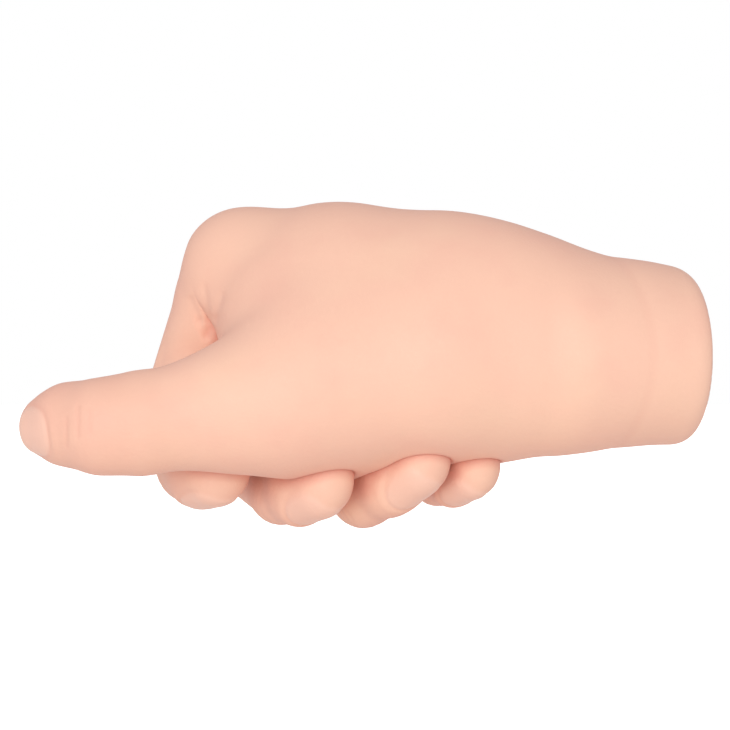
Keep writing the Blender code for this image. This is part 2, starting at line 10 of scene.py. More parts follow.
import bpy
import numpy as np
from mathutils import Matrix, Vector


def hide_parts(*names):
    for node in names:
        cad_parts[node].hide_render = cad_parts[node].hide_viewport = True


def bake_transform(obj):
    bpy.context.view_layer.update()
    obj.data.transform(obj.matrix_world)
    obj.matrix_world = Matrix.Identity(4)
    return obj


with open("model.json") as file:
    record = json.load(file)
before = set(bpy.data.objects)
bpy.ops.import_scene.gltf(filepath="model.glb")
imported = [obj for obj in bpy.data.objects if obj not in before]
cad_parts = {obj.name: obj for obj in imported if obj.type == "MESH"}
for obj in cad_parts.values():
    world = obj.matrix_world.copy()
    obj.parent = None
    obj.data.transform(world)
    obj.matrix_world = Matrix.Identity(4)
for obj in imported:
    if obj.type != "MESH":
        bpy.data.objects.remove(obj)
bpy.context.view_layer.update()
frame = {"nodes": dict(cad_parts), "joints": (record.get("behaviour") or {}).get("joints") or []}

MM = 0.001
FAR = 1000.0


# ---------------------------------------------------------------- vectors and smooth solids, in millimetres

def vec(*values):
    return np.array(values, float)


def unit(v):
    """v at length 1."""
    return v / np.linalg.norm(v)


def turned(v, axis, degrees):
    """v turned about a unit axis."""
    cos, sin = math.cos(math.radians(degrees)), math.sin(math.radians(degrees))
    return v * cos + np.cross(axis, v) * sin + axis * (axis @ v) * (1 - cos)


def fade(x, start, end):
    """0 at start, 1 at end, smooth in between."""
    t = np.clip((x - start) / (end - start), 0, 1)
    return t * t * (3 - 2 * t)


def bump(x, width):
    """1 at x = 0, falling to 0 over about two widths."""
    return np.exp(-(x / width) ** 2)


def soft_min(a, b, k):
    """The smaller of a and b, rounded off where they differ by less than k: it joins two forms."""
    h = np.clip(0.5 + 0.5 * (b - a) / k, 0, 1)
    return b + (a - b) * h - k * h * (1 - h)


def soft_max(a, b, k):
    """The larger of a and b, rounded off likewise: it keeps what two forms share."""
    return -soft_min(-a, -b, k)


def cone(p, a, b, radius_a, radius_b):
    """Distance from points p to the hull of two balls."""
    ab = b - a
    length2 = ab @ ab
    drop = radius_a - radius_b
    slant2 = length2 - drop * drop
    ap = p - a
    y = ap @ ab
    z = y - length2
    x2 = ((ap * length2 - y[:, None] * ab) ** 2).sum(1)
    y2 = y * y * length2
    z2 = z * z * length2
    k = np.sign(drop) * drop * drop * x2
    beyond_b = np.sqrt(x2 + z2) / length2 - radius_b
    before_a = np.sqrt(x2 + y2) / length2 - radius_a
    between = (np.sqrt(x2 * slant2 / length2) + y * drop) / length2 - radius_a
    return np.where(
        np.sign(z) * slant2 * z2 > k,
        beyond_b,
        np.where(np.sign(y) * slant2 * y2 < k, before_a, between),
    )


def oval(p, half_y, half_z):
    """Distance, near enough, from points p to an endless tube along X of oval section."""
    near = np.sqrt((p[:, 1] / half_y) ** 2 + (p[:, 2] / half_z) ** 2)
    slope = np.sqrt((p[:, 1] / half_y**2) ** 2 + (p[:, 2] / half_z**2) ** 2) + 1e-9
    return near * (near - 1) / slope


SINK_SLOPE = 0.06
SINK_CURVE = 0.22
SINK_CURVE_START = 1.5


def sunk(x):
    """How deep a surface lies below its neighbour's, x past their seam."""
    past = np.maximum(x, 0)
    return SINK_SLOPE * past + SINK_CURVE * np.maximum(past - SINK_CURVE_START, 0) ** 2


# ---------------------------------------------------------------- the digits

joints = {j["name"]: j for j in frame["joints"]}


def joint_place(name):
    """Where a joint is, in millimetres."""
    return np.array(joints[name]["pos_m"]) / MM


TOWARDS_VIEWER = unit(vec(-0.259, -0.966, 0))
NAIL_BED_LIFT = 0.5
PAD_FULLNESS = 2.0


class Digit:
    """One digit at rest: its joints, its directions and its thicknesses."""

    def __init__(self, name, first, second, end_bend, end_length, tip_length, radii, ratio):
        """first, second: its joints. radii: at the joints and the tip. ratio: width over height."""
        self.name = name
        self.knuckle = joint_place(first)
        self.middle = joint_place(second)
        self.hinge = unit(np.array(joints[first]["axis"]))
        self.aim = unit(self.middle - self.knuckle)
        self.radii = radii
        self.ratio = ratio
        self.end_bend = end_bend
        self.end_length = end_length
        self.tip_length = tip_length
        self.outward = 0.0
        self.swell = 0.0

    def place_end(self, bend):
        """Sets the segments past the middle joint, the second one turned by bend degrees from the first."""
        self.aim2 = turned(self.aim, self.hinge, bend)
        self.end = self.middle + self.end_length * self.aim2
        self.aim3 = turned(self.aim2, self.hinge, self.end_bend)
        self.point_at(self.end + self.tip_length * self.aim3)
        self.back1 = np.cross(self.aim, self.hinge)
        self.back2 = np.cross(self.aim2, self.hinge)
        return self

    def point_at(self, tip):
        """Sets the last segment's end, its direction, its nail's bed and its pad."""
        self.tip = tip
        self.aim3 = unit(tip - self.end)
        self.back3 = np.cross(self.aim3, self.hinge)
        self.nail_bed = (self.end + tip) / 2 + NAIL_BED_LIFT * self.back3
        self.pad = (self.end + tip) / 2 + PAD_FULLNESS * TOWARDS_VIEWER

    def stretched(self, p):
        """Points spread along the hinge, so that a round tube in them is an oval one."""
        return p + (1 / self.ratio - 1) * ((p - self.knuckle) @ self.hinge)[:, None] * self.hinge

    def tube_points(self, p):
        """Points for the finger's tubes: stretched, and shifted where the finger stands outward."""
        return self.stretched(p - self.outward * self.hinge)


def finger(name, bend, end_bend, end_length, tip_length, radii, ratio):
    """A curled finger. The bends are those of its middle and end joints, in degrees."""
    digit = Digit(name, name + "_knuckle", name + "_middle", end_bend, end_length, tip_length, radii, ratio)
    return digit.place_end(bend)


FINGERS = [
    finger("index", 77, 26, 19, 11.5, (11.5, 8.4, 8.3, 7.7), 0.94),
    finger("middle", 84, 26, 24, 16, (11.2, 9.8, 8.3, 7.8), 0.82),
    finger("ring", 81, 38, 24, 18.5, (10.8, 9.4, 8.6, 7.6), 0.81),
    finger("little", 78, 20, 20, 14.5, (9.8, 8.6, 7.4, 6.4), 0.82),
]
THUMB_BEND = 32.9
THUMB_END_LENGTH = 13.2
THUMB = Digit("thumb", "thumb_swing", "thumb_bend", 0, 0, 0, (13.2, 10.1, 7.1), 1.0)
THUMB.aim2 = turned(THUMB.aim, THUMB.hinge, THUMB_BEND)
THUMB.tip = THUMB.middle + THUMB_END_LENGTH * THUMB.aim2 + vec(0, 0, 0.3)
THUMB.back1 = np.cross(THUMB.aim, THUMB.hinge)
THUMB.back2 = np.cross(THUMB.aim2, THUMB.hinge)

# the index finger stands a little to one side on its hinge, and the others curl in closer than it does
FINGERS[0].outward = 0.8
FINGERS[0].swell = 0.5
for digit in FINGERS[1:]:
    digit.end = digit.end + 2.5 * TOWARDS_VIEWER
    digit.point_at(digit.tip + 3.5 * TOWARDS_VIEWER)
for digit in FINGERS:
    # the skin bends round the knuckle along this line, from the back of the hand to the finger
    digit.forward = unit(vec(0, 1, 0) - digit.hinge[1] * digit.hinge)
    digit.chord = unit(0.5 * digit.forward + digit.aim)

# seams between the skin's pieces, and where skin sinks past them, as distances along a digit
KNUCKLE_SEAM = -4.0
PALM_SIDE_SEAM = 4.0
ROOT_END = 3.0
THUMB_CHORD = unit(vec(-0.85, -0.40, -0.35))
THUMB_SEAM = 90.5
THUMB_LIFT = vec(0, 0, 1.0)


def first_segment(q, f):
    """Distance to the segment from the knuckle to the middle joint, q being stretched points."""
    waist = 0.8 * f.knuckle + 0.2 * f.middle
    waist_radius = 0.8 * f.radii[0] + 0.2 * f.radii[1] + f.swell
    d = cone(q, f.knuckle, waist, f.radii[0], waist_radius)
    return soft_min(d, cone(q, waist, f.middle, waist_radius, f.radii[1]), 2.0)


def last_segments(q, f):
    """Distance to the two segments past the middle joint, rounded over the nail and the pad."""
    bed_radius = 0.515 * (f.radii[2] + f.radii[3])
    d = cone(q, f.middle, f.end, f.radii[1], f.radii[2])
    d = soft_min(d, cone(q, f.end, f.nail_bed, f.radii[2], bed_radius), 2.0)
    d = soft_min(d, cone(q, f.nail_bed, f.tip, bed_radius, f.radii[3]), 2.0)
    return soft_min(d, cone(q, f.pad, f.tip, bed_radius, f.radii[3]), 3.0)


def finger_shape(p, f):
    """The whole finger, from inside the knuckle to the fingertip."""
    q = f.tube_points(p)
    return soft_min(first_segment(q, f), last_segments(q, f), 3.0)


def thumb_shape(p):
    """The whole thumb, with a full pad and a slight waist before its end joint."""
    t = THUMB
    q = t.stretched(p) - THUMB_LIFT
    waist = t.knuckle + 0.78 * (t.middle - t.knuckle) - vec(0, 0, 0.4)
    pad = t.middle + 0.6 * (t.tip - t.middle) + vec(0, 0, 0.4)
    waist_radius = t.radii[1] + 1.1
    pad_radius = t.radii[2] + 1.9
    d = cone(q, t.knuckle, waist, t.radii[0], waist_radius)
    d = soft_min(d, cone(q, waist, t.middle, waist_radius, t.radii[1]), 2.0)
    d = soft_min(d, cone(q, t.middle, pad, t.radii[1], pad_radius), 3.0)
    return soft_min(d, cone(q, pad, t.tip, pad_radius, t.radii[2]), 2.0)


# ---------------------------------------------------------------- the palm

CUFF_HALF = (22.5, 19.8)
CUFF_WALL = 3.0
CUFF_START = -22.0
RIM = 12.0
RIM_ROUNDING = 5.0
BORE_END = -20.0
BORE_ROUNDING = 1.6
PRESS = 0.4
# how softly forms join: masses with each other, the cuff with them, the thumb with the palm, and the
# index finger and the other fingers with the palm, at the web and past it
MASS_BLEND = 10.0
CUFF_BLEND = 4.5
THUMB_BLEND = 9.0
INDEX_WEB_BLEND = 9.0
WEB_BLEND = 5.0
LEAST_BLEND = 0.8
WEB_END = 16.0
index, middle, ring, little = FINGERS
MASSES = [
    # from, to, radius there and there: the wrist, the back of the hand, the knuckles, the heel of the
    # palm, the ball of the thumb, and the web between thumb and index finger
    (vec(-3, 0.5, 2.1), vec(-31, 6, 6.6), 19.2, 20.6),
    (vec(-31, 6, 6.6), vec(-60, 21, 10.9), 20.6, 21.0),
    (vec(-44, 12, 9.8), vec(-66, 26, 13.2), 20.8, 17.4),
    (vec(-66, 26, 13.4), index.knuckle + vec(0.0, 0, -1.8), 17.4, 10.8),
    (vec(-34, 13, 5), middle.knuckle + vec(0, 0, -0.6), 17.0, 11.0),
    (vec(-28, 13, 2), ring.knuckle, 15.0, 10.4),
    (vec(-22, 11, 0), little.knuckle, 14.0, 9.6),
    (vec(-16, 3, -1.4), vec(-36, 7, -5), 16.6, 16.6),
    (vec(-20, -0.5, -1.5), vec(-50, 0.5, -3.2), 17.0, 15.8),
    (vec(-35, 13, -8), vec(-57, 16, -12.5), 13.0, 13.0),
    (vec(-57, 16, -12.5), vec(-77, 14, -14), 13.0, 12.5),
    (vec(-50, 0.5, -3.2), vec(-72, 4, -6.2), 15.8, 15.8),
    (vec(-72, 4, -6.2), vec(-90, 4.5, -10.5), 15.8, 12.0),
    (vec(-46, 5, 3), vec(-74, 10, 1), 18.5, 15.0),
    (vec(-62, 16, 9), vec(-76, 21, 9), 17.0, 11.5),
    (vec(-76, 21, 9), vec(-78, 30, 15), 11.5, 10.0),
]


def palm_mass(p):
    """Palm and wrist, without digits or openings."""
    cuff = soft_max(oval(p, *CUFF_HALF), CUFF_START - p[:, 0], 8.0)
    d = np.full(len(p), FAR)
    for a, b, radius_a, radius_b in MASSES:
        d = soft_min(d, cone(p, a, b, radius_a, radius_b), MASS_BLEND)
    return soft_min(d, cuff, CUFF_BLEND)


def along(p, f):
    """Where points are along a finger's knuckle chord."""
    return (p - f.knuckle) @ f.chord


def own_part(p, f):
    """Negative where a finger's own skin shows at its knuckle, zero on its seam with the palm."""
    behind = KNUCKLE_SEAM - along(p, f)
    towards_palm = -(p - f.knuckle) @ f.back1
    part = soft_max(behind, towards_palm - PALM_SIDE_SEAM, 3.0)
    place = FINGERS.index(f)
    for other in FINGERS[max(place - 1, 0):place + 2]:
        if other is not f:
            halfway = (f.knuckle + other.knuckle) / 2
            part = soft_max(part, (p - halfway) @ unit(other.knuckle - f.knuckle), 1.5)
    return part


def web_softness(p, f):
    """How softly a finger joins the palm: less and less away from its knuckle."""
    widest = INDEX_WEB_BLEND if f is index else WEB_BLEND
    return LEAST_BLEND + (widest - LEAST_BLEND) * (1 - fade(along(p, f), 0.0, WEB_END))


def curled_room(p):
    """The room the curled fingers take out of the palm: less than they fill, so that they press on it."""
    d = np.full(len(p), FAR)
    for f in FINGERS:
        d = np.minimum(d, last_segments(f.tube_points(p), f))
    return d + PRESS


def open_cuff(d, p):
    """Cuts the rim and the blind bore of the cuff, with soft edges."""
    d = soft_max(d, p[:, 0] - RIM, RIM_ROUNDING)
    bore = oval(p, CUFF_HALF[0] - CUFF_WALL, CUFF_HALF[1] - CUFF_WALL)
    bore = soft_max(bore, BORE_END - p[:, 0], 1.0)
    return soft_max(d, -bore, BORE_ROUNDING)


def palm_and_thumb(p):
    """Palm and thumb as one form, uncut."""
    return soft_min(palm_mass(p), thumb_shape(p), THUMB_BLEND)


def with_finger_room(d, p):
    """Form d with the curled fingers' room pressed into it."""
    return soft_max(d, -curled_room(p), 1.5)


def palm_skin(p):
    """The palm, the cuff and the thumb up to its seam, sinking below each finger's own skin."""
    base = palm_and_thumb(p)
    d = base
    for f in FINGERS:
        inside = sunk(-own_part(p, f))
        d = soft_max(d, base + np.minimum(inside, 3.0), 0.01)
    tubes = d
    for f in FINGERS:
        inside = sunk(-own_part(p, f)) + sunk(along(p, f) - ROOT_END)
        root = first_segment(f.tube_points(p), f)
        tubes = soft_min(tubes, root + inside, web_softness(p, f))
    d = open_cuff(with_finger_room(tubes, p), p)
    return d + sunk(p @ THUMB_CHORD - THUMB_SEAM)


def thumb_end(p):
    """The thumb past its seam."""
    return palm_and_thumb(p) + sunk(THUMB_SEAM - p @ THUMB_CHORD)


def first_part(f):
    """The form of a finger's skin from its knuckle to the middle of its first segment."""
    half = 0.5 * np.linalg.norm(f.middle - f.knuckle)

    def shape(p):
        palm = palm_and_thumb(p) + sunk(own_part(p, f))
        d = soft_min(palm, finger_shape(p, f), web_softness(p, f))
        return d + sunk((p - f.knuckle) @ f.aim - half)

    return shape


def end_part(f):
    """The form of a finger's skin from the middle of its first segment to its tip."""
    half = 0.5 * np.linalg.norm(f.middle - f.knuckle)

    def shape(p):
        return finger_shape(p, f) + sunk(half - (p - f.knuckle) @ f.aim)

    return shape


# ---------------------------------------------------------------- meshing

BLOCK = 4
NEAR_CELLS = 8
BLOCKS_AT_ONCE = 2000
SLOPE_STEP = 0.05
LONGEST_MOVE = 1.0
RELAXING_ROUNDS = 3


def grid_values(shape, low, counts, cell):
    """shape on a grid; blocks well away from its surface take one value each."""
    blocks = counts // BLOCK
    middles = [low[i] + (np.arange(blocks[i]) + 0.5) * BLOCK * cell - 0.5 * cell for i in range(3)]
    centre = np.stack(np.meshgrid(*middles, indexing="ij"), -1).reshape(-1, 3)
    rough = shape(centre)
    values = np.repeat(rough, BLOCK**3).reshape(-1, BLOCK, BLOCK, BLOCK)
    near = np.flatnonzero(np.abs(rough) < NEAR_CELLS * cell)
    steps = (np.arange(BLOCK) - (BLOCK - 1) / 2) * cell
    offsets = np.stack(np.meshgrid(steps, steps, steps, indexing="ij"), -1).reshape(-1, 3)
    for part in np.array_split(near, max(1, len(near) // BLOCKS_AT_ONCE)):
        points = (centre[part][:, None, :] + offsets[None]).reshape(-1, 3)
        values[part] = shape(points).reshape(-1, BLOCK, BLOCK, BLOCK)
    values = values.reshape(*blocks, BLOCK, BLOCK, BLOCK).transpose(0, 3, 1, 4, 2, 5)
    return values.reshape(counts)


def surface_net(shape, low, high, cell):
    """Vertices and quads of the closed surface where shape is zero."""
    counts = (np.ceil((high - low) / cell / BLOCK).astype(int) + 1) * BLOCK
    value = grid_values(shape, low, counts, cell)
    inside = value < 0
    cells = counts - 1
    total = np.zeros((*cells, 3))
    crossings = np.zeros(cells)
    for axis in range(3):
        others = [i for i in range(3) if i != axis]
        first = np.moveaxis(value, axis, 0)[:-1]
        second = np.moveaxis(value, axis, 0)[1:]
        crossed = (first < 0) != (second < 0)
        share = np.where(crossed, first / np.where(crossed, first - second, 1), 0)
        crossed, share = np.moveaxis(crossed, 0, axis), np.moveaxis(share, 0, axis)
        for step_a in (0, 1):
            for step_b in (0, 1):
                window = [slice(None)] * 3
                window[others[0]] = slice(step_a, step_a + cells[others[0]])
                window[others[1]] = slice(step_b, step_b + cells[others[1]])
                hit = crossed[tuple(window)]
                crossings += hit
                total[..., axis] += share[tuple(window)] * hit
                total[..., others[0]] += step_a * hit
                total[..., others[1]] += step_b * hit
    used = crossings > 0
    number = np.full(cells, -1)
    number[used] = np.arange(used.sum())
    place = np.argwhere(used) + total[used] / crossings[used][:, None]
    quads = []
    for axis in range(3):
        a, b = [i for i in range(3) if i != axis]
        lower = np.moveaxis(inside, axis, 0)[:-1]
        upper = np.moveaxis(inside, axis, 0)[1:]
        edge = np.argwhere(np.moveaxis(lower != upper, 0, axis))
        within = (edge[:, a] > 0) & (edge[:, a] < cells[a]) & (edge[:, b] > 0) & (edge[:, b] < cells[b])
        edge = edge[within]
        step_a, step_b = np.eye(3, dtype=int)[a], np.eye(3, dtype=int)[b]
        ring_cells = [edge - step_a - step_b, edge - step_b, edge, edge - step_a]
        quad = np.stack([number[tuple(c.T)] for c in ring_cells], 1)
        flip = inside[tuple(edge.T)] == (axis == 1)
        quad[flip] = quad[flip][:, ::-1]
        quads.append(quad)
    return low + place * cell, np.concatenate(quads)


def slope(shape, p, value):
    """Gradient of shape at p."""
    return np.stack([(shape(p + SLOPE_STEP * axis) - value) / SLOPE_STEP for axis in np.eye(3)], 1)


def settle(shape, p):
    """Moves points onto the surface of shape; returns them and their normals."""
    value = shape(p)
    gradient = slope(shape, p, value)
    size2 = (gradient**2).sum(1) + 1e-6
    move = (value / size2)[:, None] * gradient
    length = np.linalg.norm(move, axis=1)
    move *= np.minimum(1, LONGEST_MOVE / np.maximum(length, 1e-9))[:, None]
    return p - move, gradient / np.sqrt(size2)[:, None]


def relaxed(p, quads):
    """Points moved halfway to the mean of their neighbours."""
    edges = np.concatenate([quads[:, [i, (i + 1) % 4]] for i in range(4)])
    count = np.bincount(edges[:, 0], minlength=len(p))
    mean = np.stack([np.bincount(edges[:, 0], p[edges[:, 1], i], len(p)) for i in range(3)], 1)
    return 0.5 * p + 0.5 * mean / np.maximum(count, 1)[:, None]


def skin_mesh(shape, low, high, cell):
    """Points, normals and quads of an evenly meshed form."""
    p, quads = surface_net(shape, low, high, cell)
    for _ in range(RELAXING_ROUNDS):
        p, _ = settle(shape, relaxed(p, quads))
    p, normals = settle(shape, p)
    return p, normals, quads


# ---------------------------------------------------------------- folds, wrinkles and nails

SEEN_FOLDS = [
    # creases on the thumb's side of the hand, at the index knuckle, on the index finger and on the thumb:
    # from, to, half-width, depth
    (vec(-94.7, 20, 4.6), vec(-96.3, 20, 8.0), 0.8, 0.3),
    (vec(-96.3, 20, 8.0), vec(-98.3, 20, 12.7), 0.8, 0.3),
    (vec(-94.5, 20, 4.8), vec(-94.1, 20, 8.2), 0.8, 0.3),
    (vec(-94.1, 20, 8.2), vec(-95.1, 20, 15.6), 0.8, 0.35),
    (vec(-94.3, 20, 5.0), vec(-92.6, 20, 8.6), 0.8, 0.25),
    (vec(-92.6, 20, 8.6), vec(-90.9, 20, 13.6), 0.8, 0.3),
    (vec(-93.4, 20, 6.0), vec(-90.9, 20, 8.8), 0.8, 0.2),
    (vec(-103.3, 30, -0.9), vec(-96.3, 30, 1.6), 3.4, 0.7),
    (vec(-128.9, 8, -13.6), vec(-128.9, 8, -19.8), 0.5, 0.22),
    (vec(-126.1, 8, -10.9), vec(-126.2, 8, -17.6), 0.5, 0.22),
    (vec(-123.6, 8, -11.5), vec(-123.4, 8, -16.5), 0.5, 0.14),
]


WRIST_CREASE = (2.6, 0.16)
# redder skin: width and strength of the band along the wrist's crease; start, end and strength of the flush
# along the thumb
WRIST_FLUSH = (3.0, 0.25)
THUMB_FLUSH = (84.0, 104.0, 0.42)
# painted shade in the grooves of the relief, per millimetre of their depth
GROOVE_SHADE = 0.45


def groove(distance, width, depth):
    """Height change across a rounded groove."""
    return -depth * bump(distance, width)


def seen_fold(p, normals, start, end, width, depth):
    """A crease drawn as it is seen from the thumb's side, on skin about as near to the viewer."""
    flat = p - (p @ TOWARDS_VIEWER)[:, None] * TOWARDS_VIEWER
    a = start - (start @ TOWARDS_VIEWER) * TOWARDS_VIEWER
    b = end - (end @ TOWARDS_VIEWER) * TOWARDS_VIEWER
    share = np.clip((flat - a) @ (b - a) / ((b - a) @ (b - a)), 0, 1)
    distance = np.linalg.norm(flat - a - share[:, None] * (b - a), axis=1)
    near = 1 - fade(np.abs((p - start) @ TOWARDS_VIEWER), 10.0, 14.0)
    return groove(distance, width, depth) * near * fade(normals @ TOWARDS_VIEWER, 0.05, 0.35)


def wrinkles(p, centre, direction, f, outside, spots, width, depth):
    """Grooves across a digit at distances along direction, on the side that outside points to."""
    away = p - centre
    across = away @ f.hinge
    wave = 0.35 * np.sin(1.1 * across + 2.0 * centre[0]) + 0.03 * across**2
    shown = fade(away @ outside, 1.0, 5.0) * (1 - fade(np.abs(across), 3.0, 8.5))
    close = np.linalg.norm(away, axis=1) < 22
    total = np.zeros(len(p))
    for number, spot in enumerate(spots):
        total += groove(away @ direction - spot - wave * (1 + 0.25 * number), width, depth)
    return total * shown * close


NAIL_SQUARENESS = 2.6
NAIL_GROOVE = (0.55, 0.22)
NAIL_FOLD_RISE = 0.14
NAIL_RISE = 0.06
NAIL_TIP_RISE = 0.2


def nail(p, origin, forward, f, outside, start, end, half_width):
    """Height change round a moulded nail, and how much of a point is nail."""
    away = p - origin
    length = away @ forward - (start + end) / 2
    across = away @ f.hinge
    reach = (end - start) / 2
    power = NAIL_SQUARENESS
    size = ((np.abs(length) / reach) ** power + (np.abs(across) / half_width) ** power) ** (1 / power)
    outline = (size - 1) * min(reach, half_width)
    shown = fade(away @ outside, -1.0, 2.5)
    free = fade(length, 0.15 * reach, 0.9 * reach)
    height = groove(outline, *NAIL_GROOVE) * (1 - free)
    height += NAIL_FOLD_RISE * bump(outline - 1.4, 1.0) * (1 - free)
    height += (NAIL_RISE + NAIL_TIP_RISE * free) * fade(-outline, -0.1, 0.8)
    return height * shown, shown * fade(-outline, -0.2, 0.5)


def wrist_line(p):
    """How far past the wrist's crease points are."""
    return p[:, 0] + 6.2 - 0.006 * p[:, 1] ** 2


def relief(p, normals):
    """Height of the fine modelling at each point, and how much of it is nail."""
    height = np.zeros(len(p))
    nails = np.zeros(len(p))
    for fold in SEEN_FOLDS:
        height += seen_fold(p, normals, *fold)
    height += groove(wrist_line(p), *WRIST_CREASE)
    for f in FINGERS:
        bend = unit(f.back1 + f.back2)
        turn = unit(f.aim + f.aim2)
        height += wrinkles(p, f.middle, turn, f, bend, (-4.2, -2.3, -0.4, 1.6, 3.6), 0.6, 0.3)
        height += wrinkles(p, f.middle, turn, f, -bend, (-1.2, 0.9), 0.7, 0.35)
        bend = unit(f.back2 + f.back3)
        turn = unit(f.aim2 + f.aim3)
        height += wrinkles(p, f.end, turn, f, bend, (-2.0, -0.4, 1.2), 0.5, 0.2)
        height += wrinkles(p, f.end, turn, f, -bend, (0.2,), 0.7, 0.35)
        tip_radius = f.radii[3]
        lift, part = nail(p, f.tip, f.aim3, f, f.back3, -6.0, 0.8 * tip_radius, 0.74 * tip_radius)
        height += lift
        nails = np.maximum(nails, part)
    t = THUMB
    bend = unit(t.back1 + t.back2)
    turn = unit(t.aim + t.aim2)
    height += wrinkles(p, t.middle, turn, t, -bend, (-1.0, 1.0), 0.8, 0.4)
    lift, part = nail(p, t.tip + THUMB_LIFT, t.aim2, t, t.back2, -4.6, 5.6, 5.8)
    return height + lift, np.maximum(nails, part)


def groove_shade_and_flush(p, height):
    """Painted shade in the skin's grooves, by their depth, with a redder band along the wrist's crease and
    a flush towards the thumb's tip.
    """
    wrist_width, wrist_flush = WRIST_FLUSH
    pale_until, full_from, thumb_flush = THUMB_FLUSH
    # painted shade in grooves, by how deep they are, plus the redder wrist band
    flush = GROOVE_SHADE * np.clip(-height, 0, 1) + wrist_flush * bump(wrist_line(p), wrist_width)
    return flush + thumb_flush * fade(p @ THUMB_CHORD, pale_until, full_from)


def add_skin(name, shape, low, high, cell):
    """A closed skin piece in the scene, with where each point rests and how much painted shade, from folds
    and grooves, and flush its skin takes.
    """
    p, normals, quads = skin_mesh(shape, low, high, cell)
    height, nails = relief(p, normals)
    # painted shade in folds and grooves, plus the wrist band and thumb flush, kept as the 'fold' attribute
    depth = np.clip(fold_shade(p, normals) + groove_shade_and_flush(p, height), 0, 1)
    p = p + height[:, None] * normals
    mesh = bpy.data.meshes.new(name)
    mesh.from_pydata((p * MM).tolist(), [], quads.tolist())
    mesh.polygons.foreach_set("use_smooth", np.ones(len(quads), bool))
    rest = mesh.attributes.new("rest", "FLOAT_VECTOR", "POINT")
    rest.data.foreach_set("vector", (p * MM).astype(np.float32).ravel())
    for title, values in (("fold", depth), ("nail", nails)):
        mesh.attributes.new(title, "FLOAT", "POINT").data.foreach_set("value", values.astype(np.float32))
    skin = bpy.data.objects.new(name, mesh)
    bpy.context.scene.collection.objects.link(skin)
    skin.data.materials.append(SILICONE)
    return skin


# how far above the skin the painted fold shade looks for the hand's own form
FOLD_SHADE_REACHES = (3.0, 9.0)


def whole_hand(p):
    """The resting hand as one form: palm, thumb and fingers."""
    d = open_cuff(with_finger_room(palm_and_thumb(p), p), p)
    for f in FINGERS:
        d = np.minimum(d, finger_shape(p, f))
    return d


def fold_shade(p, normals):
    """Painted shade in folds: 0 on open skin to 1 in a fold, by how much of the space above each point is
    taken.
    """
    depth = np.zeros(len(p))
    for reach in FOLD_SHADE_REACHES:
        clear = whole_hand(p + reach * normals) / reach
        depth += np.clip(1 - clear, 0, 1) / len(FOLD_SHADE_REACHES)
    return depth


# ---------------------------------------------------------------- materials

def new_material(name):
    """A node material, its nodes and its links."""
    material = bpy.data.materials.new(name)
    material.use_nodes = True
    return material, material.node_tree.nodes, material.node_tree.links


def node(nodes, kind, **inputs):
    """A new node with the given inputs set."""
    made = nodes.new(kind)
    for key, value in inputs.items():
        made.inputs[key].default_value = value
    return made


def tint(nodes, links, factor, base, colour):
    """base mixed with a colour by factor; returns the mixed colour's socket."""
    mix = nodes.new("ShaderNodeMix")
    mix.data_type = "RGBA"
    links.new(factor, mix.inputs["Factor"])
    if isinstance(base, tuple):
        mix.inputs["A"].default_value = (*base, 1)
    else:
        links.new(base, mix.inputs["A"])
    mix.inputs["B"].default_value = (*colour, 1)
    return mix.outputs["Result"]


def ranged(nodes, links, value, low, high, to_low, to_high):
    """value brought from one range to another; returns its socket."""
    scale = nodes.new("ShaderNodeMapRange")
    scale.clamp = True
    links.new(value, scale.inputs["Value"])
    for key, number in (("From Min", low), ("From Max", high), ("To Min", to_low), ("To Max", to_high)):
        scale.inputs[key].default_value = number
    return scale.outputs["Result"]


SKIN_BASE = (0.93, 0.56, 0.422)
SKIN_FLUSH = (0.86, 0.42, 0.34)
SKIN_SALLOW = (0.95, 0.66, 0.46)
# painted shade: dark red for folds and grooves, also used for the wrist band and thumb flush
SKIN_FOLD_SHADE = (0.70, 0.24, 0.19)
# painted shade for skin turned away from the viewer
SKIN_EDGE_SHADE = (0.80, 0.42, 0.35)
NAIL_TINT = (0.94, 0.60, 0.48)


